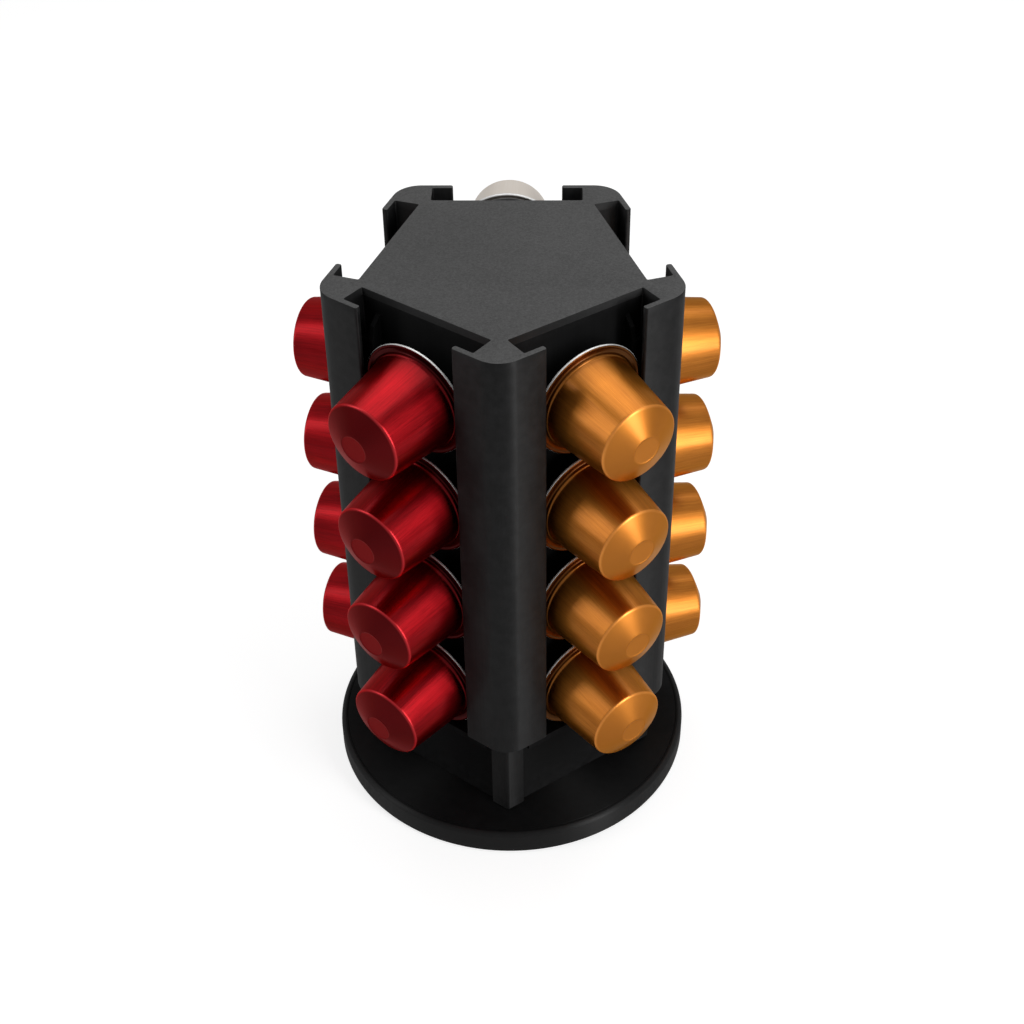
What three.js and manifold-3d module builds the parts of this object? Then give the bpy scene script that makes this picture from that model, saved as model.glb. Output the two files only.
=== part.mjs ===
// Revolving capsule tower: a five-sided rack that turns on a round base. Each face is a channel
// that holds four coffee capsules by their rims, one above the other, and is loaded from the top.
// Millimetres, +Z up. The origin is on the turning axis, on the surface that the base stands on.
// The front corner of the tower points along -Y.

import * as THREE from 'three';
import Module from 'manifold-3d';
import { mergeVertices } from 'three/addons/utils/BufferGeometryUtils.js';

// Driving dimensions

const faceCount = 5;
const rowCount = 4;
const seatGap = 0.3;

const capsule = {
  rimRadius: 18.5,
  rimThickness: 1.4,
  rimRollWidth: 0.6,
  flangeThickness: 0.4,
  bodyRadius: 15.5,
  filletRadius: 1.1,
  shoulderRadius: 12.8,
  shoulderDistance: 24.6,
  dimpleRadius: 4.5,
  length: 28.2,
  dimpleDepth: 0.2,
  wall: 0.8,
  lidThickness: 0.3,
  segments: 20,
};

// The channels beside the rear one have a lower floor than the two at the front, and the rear one
// has a higher floor.
const channel = {
  faceApothem: 36.5,
  depth: 8.0,
  sidePlay: 5.2,
  lipBite: 1.2,
  lipThickness: 1.9,
  floorHeight: 38.0,
  sideFloorDrop: 12.4,
  rearFloorRise: 6.2,
  headroom: 7.8,
  rimStandoff: 5.4,
  droopDegrees: 4.0,
};

const rail = {
  cornerRadius: 9.0,
  cornerSteps: 8,
  headBottomAboveFloor: 4.5,
  sideHeadDrop: 7.0,
  postDepth: 6.5,
  postCreaseRadius: 3.0,
  postCreaseSteps: 3,
  tongueHeadHalfWidth: 4.0,
  tongueHeadDepth: 2.0,
  tongueNeckLength: 2.9,
};

const core = {
  wall: 2.6,
  hollowRadius: 35.4,
  plinthStep: 3.8,
  ledgeReach: 5.8,
  ledgeThickness: 2.5,
  ledgeEndInset: 1.8,
};

const rib = {
  thickness: 1.5,
  reach: 3.9,
  insetFromRimEdge: 1.1,
  tipBelowTop: 7.0,
  shoulderBelowTop: 10.0,
  shoulderReach: 2.8,
  fullBelowTop: 14.6,
  webThickness: 1.4,
  outerReach: 3.0,
  outerThickness: 1.2,
  outerTipBelowTop: 19.0,
  outerFullBelowTop: 25.0,
};

const cap = {
  thickness: 2.5,
  plugDepth: 6.0,
  plugWall: 2.0,
  pinRadius: 1.5,
  pinLength: 5.0,
  pinSegments: 12,
};

const base = {
  radius: 61.9,
  thickness: 8.5,
  groundClearance: 0.8,
  edgeRadius: 1.6,
  grooveInset: 3.0,
  grooveDepth: 0.4,
  grooveWidth: 0.8,
  segments: 60,
  turningGap: 1.0,
};

const foot = {
  innerRadius: 46.0,
  ringWidth: 6.0,
  coverRadius: 7.0,
  pocketDepth: 1.0,
  segments: 30,
};

const bearing = {
  innerRadius: 8.0,
  outerRadius: 18.0,
  raceThickness: 1.0,
  ballRadius: 1.3,
  ballCount: 8,
  ballPlay: 0.1,
  cageThickness: 1.0,
  cageWidth: 7.0,
  segments: 30,
  ballSegments: 8,
  ballRings: 6,
};

const pivot = {
  shankRadius: 3.0,
  headRadius: 5.5,
  headHeight: 1.5,
  socketRadius: 2.2,
  socketDepth: 0.8,
  webThickness: 2.4,
  hubRadius: 8.0,
  hubHeight: 4.5,
  washerRadius: 7.0,
  washerThickness: 0.8,
  nutRadius: 5.8,
  nutHeight: 4.6,
  threadPlay: 0.2,
  shankBeyondNut: 1.5,
  segments: 20,
  hexagonSides: 6,
};

const floorPlate = {
  thickness: 3.2,
  inset: 3.3,
};

// The screws stand behind the rear face and behind the two faces beside the front corner.
const screw = {
  faces: [0, 2, 4],
  circleRadius: 29.5,
  shankRadius: 1.4,
  shankLength: 8.0,
  headRadius: 2.8,
  headHeight: 1.6,
  slotWidth: 0.9,
  slotDepth: 0.7,
  bossRadius: 3.2,
  bossHeight: 9.0,
  segments: 12,
};

// One overrun serves every cut, so that a cut starts and ends outside the body it cuts.
const cutOverrun = 1.0;

// Points of a shape that are closer than this are one point.
const mergeDistance = 1e-5;

// Derived sizes

const turn = 2 * Math.PI;
const halfCorner = Math.PI / faceCount;
const cosHalf = Math.cos(halfCorner);
const sinHalf = Math.sin(halfCorner);
const droop = THREE.MathUtils.degToRad(channel.droopDegrees);

const lipInner = channel.faceApothem + channel.depth;
const lipOuter = lipInner + channel.lipThickness;
const slotHalfWidth = capsule.rimRadius + channel.sidePlay;
const windowHalfWidth = capsule.rimRadius - channel.lipBite;

const rimHalfHeight = capsule.rimRadius * Math.cos(droop);
const rimSag = capsule.rimThickness * Math.sin(droop);
const rowPitch = 2 * rimHalfHeight + rimSag + seatGap;
const firstRowAboveFloor = seatGap + rimSag + rimHalfHeight;
const towerTop = channel.floorHeight + rowCount * rowPitch + channel.headroom;
const capBottom = towerTop - cap.thickness;

// One floor per face, clockwise from the front left face.
const channelFloors = [0, -channel.sideFloorDrop, channel.rearFloorRise, -channel.sideFloorDrop, 0]
  .map((step) => channel.floorHeight + step);
const lowestFloor = Math.min(...channelFloors);

const baseTop = base.groundClearance + base.thickness;
const towerBottom = baseTop + base.turningGap;
const frontHeadBottom = channel.floorHeight + rail.headBottomAboveFloor;
const sideHeadBottom = frontHeadBottom - rail.sideHeadDrop;
const postApothem = channel.faceApothem + rail.postDepth;
const plinthApothem = channel.faceApothem + core.plinthStep;
const hollowApothem = channel.faceApothem - core.wall;
const floorPlateTop = towerBottom + floorPlate.thickness;
const floorPlateApothem = plinthApothem - floorPlate.inset;

const footOuterRadius = foot.innerRadius + foot.ringWidth;

const lowerRaceBottom = towerBottom + bearing.raceThickness / 2 - 2 * bearing.raceThickness
  - 2 * (bearing.ballRadius + bearing.ballPlay);
const ballHeight = lowerRaceBottom + bearing.raceThickness + bearing.ballPlay + bearing.ballRadius;
const upperRaceBottom = ballHeight + bearing.ballRadius + bearing.ballPlay;
const upperRaceTop = upperRaceBottom + bearing.raceThickness;
const ballCircleRadius = (bearing.innerRadius + bearing.outerRadius) / 2;

const notchAlong = channel.faceApothem * cosHalf + slotHalfWidth * sinHalf;
const notchAcross = channel.faceApothem * sinHalf - slotHalfWidth * cosHalf;
const tongueOut = notchAlong;
const tongueIn = notchAlong - rail.tongueNeckLength;
const floorPlateReach = tongueOut - 2 * seatGap;

// Helpers

const wasm = await Module();
wasm.setup();

function toSolid(geometry) {
  const bare = geometry.clone();
  bare.deleteAttribute('normal');
  bare.deleteAttribute('uv');
  const merged = mergeVertices(bare, mergeDistance);
  const triangles = [];
  const index = merged.index.array;
  for (let i = 0; i < index.length; i += 3) {
    const corners = [index[i], index[i + 1], index[i + 2]];
    if (new Set(corners).size === 3) triangles.push(...corners);
  }
  return new wasm.Manifold(new wasm.Mesh({
    numProp: 3,
    vertProperties: new Float32Array(merged.attributes.position.array),
    triVerts: new Uint32Array(triangles),
  }));
}

function toGeometry(solid) {
  const mesh = solid.getMesh();
  const geometry = new THREE.BufferGeometry();
  geometry.setAttribute('position', new THREE.BufferAttribute(new Float32Array(mesh.vertProperties), 3));
  geometry.setIndex(new THREE.BufferAttribute(new Uint32Array(mesh.triVerts), 1));
  const flat = geometry.toNonIndexed();
  flat.computeVertexNormals();
  return flat;
}

function joined(solids) {
  return solids.reduce((whole, next) => whole.add(next));
}

function without(solid, cuts) {
  return cuts.reduce((rest, cut) => rest.subtract(cut), solid);
}

// A straight prism over a plan outline, with its two ends exactly at the given heights.
function prism(outline, bottom, top) {
  const shape = new THREE.Shape(outline.map(([x, y]) => new THREE.Vector2(x, y)));
  const geometry = new THREE.ExtrudeGeometry(shape, { depth: 1, bevelEnabled: false });
  const position = geometry.attributes.position;
  for (let i = 0; i < position.count; i += 1) {
    position.setZ(i, position.getZ(i) > 0.5 ? top : bottom);
  }
  return toSolid(geometry);
}

// A turned piece about the Z axis, from an outline of radius and height.
function turned(outline, segments) {
  const points = outline.map(([radius, height]) => new THREE.Vector2(radius, height));
  return toSolid(new THREE.LatheGeometry(points, segments).rotateX(Math.PI / 2));
}

function disc(radius, bottom, top, segments) {
  return turned([[0, bottom], [radius, bottom], [radius, top], [0, top]], segments);
}

function ring(inner, outer, bottom, top, segments) {
  return turned([[inner, bottom], [outer, bottom], [outer, top], [inner, top], [inner, bottom]], segments);
}

function polygon(apothem) {
  const radius = apothem / cosHalf;
  return Array.from({ length: faceCount }, (_, k) => {
    const angle = cornerAngle(k);
    return [radius * Math.cos(angle), radius * Math.sin(angle)];
  }).reverse();
}

// Corner 0 is at the front, and the corners and faces are counted clockwise from above.
function cornerAngle(k) {
  return -Math.PI / 2 - (k * turn) / faceCount;
}

function faceAngle(k) {
  return cornerAngle(k) - halfCorner;
}

function turnedTo(solid, angle) {
  return solid.rotate([0, 0, THREE.MathUtils.radToDeg(angle)]);
}

function aroundCorners(solid) {
  return Array.from({ length: faceCount }, (_, k) => turnedTo(solid, cornerAngle(k)));
}

// In a corner's own plan, X points out through the corner. This gives the place there of a point
// that is out from the axis by the first value along the next face's normal, and along that face
// from its middle by the second.
function besideCorner(out, along) {
  return [out * cosHalf + along * sinHalf, out * sinHalf - along * cosHalf];
}

function mirrored(half) {
  const other = half.map(([x, y]) => [x, -y]).reverse();
  return [...other, ...half];
}

// The rounded outer corner, from its middle round to where it meets the flat.
function roundedCorner(apothem, radius, steps) {
  const centre = (apothem - radius) / cosHalf;
  return Array.from({ length: steps + 1 }, (_, i) => {
    const angle = (halfCorner * i) / steps;
    return [centre + radius * Math.cos(angle), radius * Math.sin(angle)];
  });
}

function meshOf(name, solid, material) {
  const mesh = new THREE.Mesh(toGeometry(solid), material);
  mesh.name = name;
  return mesh;
}

// Materials

const finish = {
  blackPlastic: () => new THREE.MeshStandardMaterial({ color: 0x2a2a2b, roughness: 0.55, metalness: 0 }),
  greyTop: () => new THREE.MeshStandardMaterial({ color: 0x4a4a4b, roughness: 0.8, metalness: 0 }),
  rubber: () => new THREE.MeshStandardMaterial({ color: 0x141414, roughness: 0.9, metalness: 0 }),
  steel: () => new THREE.MeshStandardMaterial({ color: 0xb9bcc0, roughness: 0.3, metalness: 1 }),
  nylon: () => new THREE.MeshStandardMaterial({ color: 0xe6e2d6, roughness: 0.5, metalness: 0 }),
  foil: () => new THREE.MeshStandardMaterial({ color: 0xc9cbcd, roughness: 0.35, metalness: 1 }),
  capsule: (color) => new THREE.MeshStandardMaterial({ color, roughness: 0.3, metalness: 1 }),
};

// The three capsule finishes, one per face, clockwise from the front left face.
const capsuleColours = [0xb3121f, 0xb3121f, 0xe2c3b0, 0xd9862b, 0xd9862b];
const faceNames = ['front_left', 'rear_left', 'rear', 'rear_right', 'front_right'];

// Base

function baseDisc() {
  const top = baseTop;
  const bottom = base.groundClearance;
  const grooveOuter = base.radius - base.grooveInset;
  const outline = [
    [0, bottom],
    [base.radius - base.edgeRadius / 2, bottom],
    [base.radius, bottom + base.edgeRadius / 2],
    [base.radius, top - base.edgeRadius],
    [base.radius - base.edgeRadius * (1 - Math.SQRT1_2), top - base.edgeRadius * (1 - Math.SQRT1_2)],
    [base.radius - base.edgeRadius, top],
    [grooveOuter, top],
    [grooveOuter - base.grooveWidth / 2, top - base.grooveDepth],
    [grooveOuter - base.grooveWidth, top],
    [0, top],
  ];
  const headBottom = lowerRaceBottom - pivot.webThickness;
  const pocketTop = bottom + foot.pocketDepth;
  const cuts = [
    disc(bearing.outerRadius + seatGap, lowerRaceBottom, top + cutOverrun, bearing.segments),
    disc(pivot.shankRadius + seatGap, 0, top, pivot.segments),
    disc(pivot.headRadius + seatGap, bottom - cutOverrun, headBottom, pivot.segments),
    disc(foot.coverRadius + seatGap, bottom - cutOverrun, pocketTop, pivot.segments),
    ring(foot.innerRadius - seatGap, footOuterRadius + seatGap, bottom - cutOverrun, pocketTop,
      foot.segments),
  ];
  return meshOf('base_disc', without(turned(outline, base.segments), cuts), finish.blackPlastic());
}

const padTop = base.groundClearance + foot.pocketDepth - seatGap;

function footRing() {
  const solid = ring(foot.innerRadius, footOuterRadius, 0, padTop, foot.segments);
  return meshOf('foot_ring', solid, finish.rubber());
}

// The round pad in the middle of the underside, over the head of the pivot bolt.
function pivotCover() {
  return meshOf('pivot_cover', disc(foot.coverRadius, 0, padTop, pivot.segments), finish.rubber());
}

function race(name, bottom) {
  const top = bottom + bearing.raceThickness;
  const solid = ring(bearing.innerRadius, bearing.outerRadius, bottom, top, bearing.segments);
  return meshOf(name, solid, finish.steel());
}

function ballPlaces() {
  return Array.from({ length: bearing.ballCount }, (_, k) => {
    const angle = (k * turn) / bearing.ballCount;
    return [ballCircleRadius * Math.cos(angle), ballCircleRadius * Math.sin(angle)];
  });
}

// The ring of balls with the thin cage that they are snapped into.
function ballCage() {
  const inner = ballCircleRadius - bearing.cageWidth / 2;
  const outer = ballCircleRadius + bearing.cageWidth / 2;
  const bottom = ballHeight - bearing.cageThickness / 2;
  const top = ballHeight + bearing.cageThickness / 2;
  const sphere = new THREE.SphereGeometry(bearing.ballRadius, bearing.ballSegments, bearing.ballRings);
  const ball = toSolid(sphere.rotateX(Math.PI / 2));
  const balls = ballPlaces().map(([x, y]) => ball.translate([x, y, ballHeight]));
  const solid = joined([ring(inner, outer, bottom, top, bearing.segments), ...balls]);
  return meshOf('bearing_ball_cage', solid, finish.nylon());
}

// Pivot

const pivotHeadTop = lowerRaceBottom - pivot.webThickness - seatGap;
const pivotHeadBottom = pivotHeadTop - pivot.headHeight;
const hubTop = floorPlateTop + pivot.hubHeight;
const washerBottom = hubTop + seatGap;
const nutBottom = washerBottom + pivot.washerThickness + seatGap;
const shankTop = nutBottom + pivot.nutHeight + pivot.shankBeyondNut;

function pivotBolt() {
  const body = turned([
    [0, pivotHeadBottom],
    [pivot.headRadius, pivotHeadBottom],
    [pivot.headRadius, pivotHeadTop],
    [pivot.shankRadius, pivotHeadTop],
    [pivot.shankRadius, shankTop],
    [0, shankTop],
  ], pivot.segments);
  const socket = disc(pivot.socketRadius, pivotHeadBottom - cutOverrun, pivotHeadBottom + pivot.socketDepth,
    pivot.hexagonSides);
  return meshOf('pivot_bolt', body.subtract(socket), finish.steel());
}

function pivotWasher() {
  const top = washerBottom + pivot.washerThickness;
  const solid = ring(pivot.shankRadius + seatGap, pivot.washerRadius, washerBottom, top, pivot.segments);
  return meshOf('pivot_washer', solid, finish.nylon());
}

function lockNut() {
  const top = nutBottom + pivot.nutHeight;
  const hexagon = disc(pivot.nutRadius, nutBottom, top, pivot.hexagonSides);
  const thread = disc(pivot.shankRadius + pivot.threadPlay, nutBottom - cutOverrun, top + cutOverrun,
    pivot.segments);
  return meshOf('lock_nut', hexagon.subtract(thread), finish.steel());
}

// Tower floor

function floorPlateOutline(clearance) {
  const reach = floorPlateReach + clearance;
  const chamfer = prism([
    [-reach, -reach * 2], [reach, -reach * 2], [reach, reach * 2], [-reach, reach * 2],
  ], towerBottom - cutOverrun, floorPlateTop + cutOverrun + clearance);
  const plate = prism(polygon(floorPlateApothem + clearance), towerBottom, floorPlateTop + clearance);
  return aroundCorners(chamfer).reduce((rest, box) => rest.intersect(box), plate);
}

function aroundScrews(solid) {
  return screw.faces.map((k) => turnedTo(solid.translate([screw.circleRadius, 0, 0]), faceAngle(k)));
}

function towerFloor() {
  const hub = disc(pivot.hubRadius, floorPlateTop, hubTop, pivot.segments);
  const headPocket = disc(screw.headRadius + seatGap, towerBottom - cutOverrun,
    towerBottom + screw.headHeight + seatGap, screw.segments);
  const shankHole = disc(screw.shankRadius + seatGap, towerBottom, floorPlateTop + cutOverrun,
    screw.segments);
  const cuts = [
    disc(pivot.shankRadius + seatGap, 0, hubTop + cutOverrun, pivot.segments),
    disc(bearing.outerRadius + seatGap, 0, upperRaceTop, bearing.segments),
    ...aroundScrews(headPocket),
    ...aroundScrews(shankHole),
  ];
  return meshOf('tower_floor', without(floorPlateOutline(0).add(hub), cuts), finish.blackPlastic());
}

function floorScrews() {
  const headTop = towerBottom + screw.headHeight;
  const body = turned([
    [0, towerBottom],
    [screw.headRadius, towerBottom],
    [screw.headRadius, headTop],
    [screw.shankRadius, headTop],
    [screw.shankRadius, headTop + screw.shankLength],
    [0, headTop + screw.shankLength],
  ], screw.segments);
  const half = screw.slotWidth / 2;
  const length = screw.headRadius + cutOverrun;
  const slot = prism([[-length, -half], [length, -half], [length, half], [-length, half]],
    towerBottom - cutOverrun, towerBottom + screw.slotDepth);
  return aroundScrews(body.subtract(slot)).map((solid, k) => (
    meshOf(`floor_screw_${k + 1}`, solid, finish.steel())
  ));
}

// Corner rails

// Half of the tongue that holds a rail in the core, in the corner's plan.
function tongueHalf(clearance) {
  return [
    [tongueIn - rail.tongueHeadDepth - clearance, 0],
    [tongueIn - rail.tongueHeadDepth - clearance, rail.tongueHeadHalfWidth + clearance],
    [tongueIn + clearance, rail.tongueHeadHalfWidth + clearance],
    [tongueIn + clearance, notchAcross + clearance],
    [tongueOut, notchAcross + clearance],
  ];
}

// Half of the wedge between two channels, from the tongue out to a given distance from the axis.
function wedgeHalf(apothem, creaseRadius, creaseSteps, clearance) {
  const flank = slotHalfWidth - clearance;
  const start = besideCorner(channel.faceApothem - core.wall, flank);
  const outer = roundedCorner(apothem + clearance, creaseRadius, creaseSteps);
  return [start, besideCorner(apothem + clearance, flank), ...outer.slice().reverse()];
}

function closedHalf(half) {
  return [...half, ...half.map(([x, y]) => [x, -y]).reverse()];
}

function cleaned(outline) {
  const distinct = outline.filter(([x, y], i) => {
    const [px, py] = outline[(i + outline.length - 1) % outline.length];
    return Math.hypot(x - px, y - py) > mergeDistance;
  });
  return THREE.ShapeUtils.isClockWise(distinct.map(([x, y]) => new THREE.Vector2(x, y)))
    ? distinct.reverse()
    : distinct;
}

function tongue(bottom, top, clearance) {
  return prism(cleaned(closedHalf(tongueHalf(clearance))), bottom, top);
}

function wedge(apothem, bottom, top, clearance) {
  const half = wedgeHalf(apothem, rail.postCreaseRadius, rail.postCreaseSteps, clearance);
  return prism(cleaned(closedHalf(half)), bottom, top);
}

// The head: a rounded corner with a lip along each side, and the wedge behind it.
function railHead(bottom, top) {
  const arc = roundedCorner(lipOuter, rail.cornerRadius, rail.cornerSteps);
  const half = [
    besideCorner(channel.faceApothem - core.wall, slotHalfWidth),
    besideCorner(lipInner, slotHalfWidth),
    besideCorner(lipInner, windowHalfWidth),
    besideCorner(lipOuter, windowHalfWidth),
    ...arc.slice().reverse(),
  ];
  return prism(cleaned(closedHalf(half)), bottom, top);
}

const pinPlace = (besideCorner(lipInner, slotHalfWidth)[0] + postApothem / cosHalf) / 2;

function cornerRailSolid(headBottom) {
  const behindCore = tongueOut - seatGap;
  const keepOut = prism([
    [0, -rail.tongueHeadHalfWidth * 2], [behindCore, -rail.tongueHeadHalfWidth * 2],
    [behindCore, rail.tongueHeadHalfWidth * 2], [0, rail.tongueHeadHalfWidth * 2],
  ], towerBottom - cutOverrun, towerTop + cutOverrun);
  const outer = wedge(postApothem, towerBottom, headBottom + cutOverrun, 0)
    .add(railHead(headBottom, capBottom))
    .subtract(keepOut);
  const held = tongue(floorPlateTop + seatGap, capBottom, 0);
  const pinHole = disc(cap.pinRadius + seatGap, capBottom - cap.pinLength - seatGap, capBottom + cutOverrun,
    cap.pinSegments).translate([pinPlace, 0, 0]);
  return outer.add(held).subtract(pinHole);
}

function cornerRails() {
  const frontRail = cornerRailSolid(frontHeadBottom);
  const otherRail = cornerRailSolid(sideHeadBottom);
  const places = ['front', 'left', 'rear_left', 'rear_right', 'right'];
  return places.map((place, k) => {
    const solid = k === 0 ? frontRail : otherRail;
    const mesh = meshOf(`corner_rail_${place}`, solid, finish.blackPlastic());
    mesh.rotation.z = cornerAngle(k);
    return mesh;
  });
}

// Core

function hollow(bottom, top, clearance) {
  const sides = prism(polygon(hollowApothem - clearance), bottom, top);
  return sides.intersect(disc(core.hollowRadius - clearance, bottom, top, base.segments));
}

// One guide rib with its lead-in top, in the face's plan: X out from the face, Y along it.
function guideRib(floor, inner, outer, reach, tip, full, shoulder) {
  const face = channel.faceApothem;
  const root = face - core.wall / 2;
  const outline = [
    [root, floor - core.ledgeThickness / 2],
    [face + reach, floor - core.ledgeThickness / 2],
    [face + reach, towerTop - full],
    [face + shoulder[0], towerTop - shoulder[1]],
    [face, towerTop - tip],
    [root, towerTop - tip],
  ];
  // The outline lies in X and Z: it is extruded along -Y and then set at its place along the face.
  const shape = new THREE.Shape(outline.map(([x, z]) => new THREE.Vector2(x, z)));
  const geometry = new THREE.ExtrudeGeometry(shape, { depth: outer - inner, bevelEnabled: false });
  return toSolid(geometry.rotateX(Math.PI / 2).translate(0, outer, 0));
}

function bothSides(solid) {
  return solid.add(solid.mirror([0, 1, 0]));
}

function guideRibs(floor) {
  const inner = capsule.rimRadius - rib.insetFromRimEdge;
  const outer = inner + rib.thickness;
  const flank = slotHalfWidth - seatGap;
  const face = channel.faceApothem;
  const main = guideRib(floor, inner, outer, rib.reach, rib.tipBelowTop, rib.fullBelowTop,
    [rib.shoulderReach, rib.shoulderBelowTop]);
  const secondShoulder = [rib.outerReach / 2, (rib.outerTipBelowTop + rib.outerFullBelowTop) / 2];
  const second = guideRib(floor, flank - rib.outerThickness - seatGap, flank - seatGap,
    rib.outerReach, rib.outerTipBelowTop, rib.outerFullBelowTop, secondShoulder);
  const webTop = towerTop - rib.fullBelowTop;
  const web = prism([
    [face - core.wall / 2, inner + rib.thickness / 2],
    [face + rib.reach, inner + rib.thickness / 2],
    [face + rib.outerReach, flank],
    [face - core.wall / 2, flank - core.wall],
  ], webTop - rib.webThickness, webTop);
  return bothSides(joined([main, second, web]));
}

// The plinth under one channel, with the ledge that its lowest capsule stands on.
function channelFloor(floor) {
  const inner = channel.faceApothem - core.wall / 2;
  const step = slotHalfWidth - seatGap / 2;
  const plinth = prism([[inner, -step], [plinthApothem, -step], [plinthApothem, step], [inner, step]],
    towerBottom, floor);
  const outer = channel.faceApothem + core.ledgeReach;
  const half = slotHalfWidth - core.ledgeEndInset;
  const ledge = prism([[inner, -half], [outer, -half], [outer, half], [inner, half]],
    floor - core.ledgeThickness, floor);
  return plinth.add(ledge);
}

function channelFittings() {
  return channelFloors.map((floor, face) => (
    turnedTo(channelFloor(floor).add(guideRibs(floor)), faceAngle(face))
  ));
}

function towerCore() {
  const body = joined([
    prism(polygon(channel.faceApothem), towerBottom, capBottom),
    prism(polygon(plinthApothem), towerBottom, lowestFloor - core.ledgeThickness),
    ...channelFittings(),
  ]);
  const railSlot = wedge(postApothem, towerBottom - cutOverrun, capBottom + cutOverrun, seatGap)
    .add(tongue(towerBottom - cutOverrun, capBottom + cutOverrun, seatGap));
  const bossTop = floorPlateTop + screw.bossHeight;
  const boss = disc(screw.bossRadius, floorPlateTop + seatGap, bossTop, screw.segments);
  const pilot = disc(screw.shankRadius + pivot.threadPlay, towerBottom,
    towerBottom + screw.headHeight + screw.shankLength + seatGap, screw.segments);
  const shell = without(body, [
    hollow(towerBottom - cutOverrun, capBottom + cutOverrun, 0),
    ...aroundCorners(railSlot),
    floorPlateOutline(seatGap),
  ]);
  const webOut = hollowApothem + core.wall / 2 - screw.circleRadius;
  const webHalf = screw.bossRadius / 2;
  const web = prism([[0, -webHalf], [webOut, -webHalf], [webOut, webHalf], [0, webHalf]],
    floorPlateTop + seatGap, bossTop);
  const bossed = joined([shell, ...aroundScrews(boss), ...aroundScrews(web)]);
  return meshOf('tower_core', without(bossed, aroundScrews(pilot)), finish.blackPlastic());
}

// Cap

function topCap() {
  const plate = prism(polygon(channel.faceApothem), capBottom, towerTop);
  const heads = aroundCorners(railHead(capBottom, towerTop));
  const plugBottom = capBottom - cap.plugDepth;
  const plug = hollow(plugBottom, capBottom + cap.thickness / 2, seatGap)
    .subtract(hollow(plugBottom - cutOverrun, capBottom, seatGap + cap.plugWall));
  const pin = disc(cap.pinRadius, capBottom - cap.pinLength, capBottom + cap.thickness / 2, cap.pinSegments)
    .translate([pinPlace, 0, 0]);
  return meshOf('top_cap', joined([plate, ...heads, plug, ...aroundCorners(pin)]), finish.greyTop());
}

// Capsules

// The cup, standing on the back of its rim, with its closed end up.
function cupSolid() {
  const c = capsule;
  const flangeBack = c.rimThickness - c.flangeThickness;
  const slope = (c.bodyRadius - c.shoulderRadius) / (c.shoulderDistance - c.rimThickness);
  const coneRise = (c.length - c.shoulderDistance) / (c.shoulderRadius - c.dimpleRadius);
  const innerTop = c.length - c.dimpleDepth - c.wall;
  const innerTopRadius = c.dimpleRadius + c.wall;
  const innerShoulder = c.shoulderRadius - c.wall;
  return turned([
    [0, innerTop],
    [innerTopRadius, innerTop],
    [innerShoulder, innerTop - (innerShoulder - innerTopRadius) * coneRise],
    [c.bodyRadius - c.wall, flangeBack],
    [c.rimRadius - c.rimRollWidth, flangeBack],
    [c.rimRadius - c.rimRollWidth, 0],
    [c.rimRadius, 0],
    [c.rimRadius, c.rimThickness],
    [c.bodyRadius + c.filletRadius, c.rimThickness],
    [c.bodyRadius - slope * c.filletRadius, c.rimThickness + c.filletRadius],
    [c.shoulderRadius, c.shoulderDistance],
    [c.dimpleRadius, c.length],
    [c.dimpleRadius - c.dimpleDepth, c.length - c.dimpleDepth],
    [0, c.length - c.dimpleDepth],
  ], c.segments);
}

// The foil that closes the cup, set inside the rolled edge of its rim.
function lidSolid() {
  const c = capsule;
  const top = c.rimThickness - c.flangeThickness - seatGap;
  return disc(c.rimRadius - c.rimRollWidth - seatGap, top - c.lidThickness, top, c.segments);
}

function capsules() {
  const cup = cupSolid();
  const lid = lidSolid();
  const groups = [];
  faceNames.forEach((faceName, face) => {
    for (let row = 1; row <= rowCount; row += 1) {
      const pair = new THREE.Group();
      pair.add(meshOf(`capsule_cup_${faceName}_${row}`, cup, finish.capsule(capsuleColours[face])));
      pair.add(meshOf(`capsule_lid_${faceName}_${row}`, lid, finish.foil()));
      pair.rotation.y = Math.PI / 2 + droop;
      const fromBottom = rowCount - row;
      pair.position.x = channel.faceApothem + channel.rimStandoff;
      pair.position.z = channelFloors[face] + firstRowAboveFloor + fromBottom * rowPitch;
      const side = new THREE.Group();
      side.rotation.z = faceAngle(face);
      side.add(pair);
      groups.push(side);
    }
  });
  return groups;
}

// Assembly

const tower = new THREE.Group();
tower.add(towerFloor(), ...floorScrews(), race('bearing_upper_race', upperRaceBottom));
tower.add(towerCore(), ...cornerRails(), topCap(), ...capsules());

const stand = new THREE.Group();
stand.add(baseDisc(), footRing(), pivotCover(), race('bearing_lower_race', lowerRaceBottom));
stand.add(pivotBolt(), pivotWasher(), lockNut());

const cageGroup = new THREE.Group();
cageGroup.add(ballCage());

const dispenser = new THREE.Group();
dispenser.add(stand, cageGroup, tower);

export default dispenser;
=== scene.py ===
import math
import random

import bmesh
import bpy
from mathutils import Matrix, Vector

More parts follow.
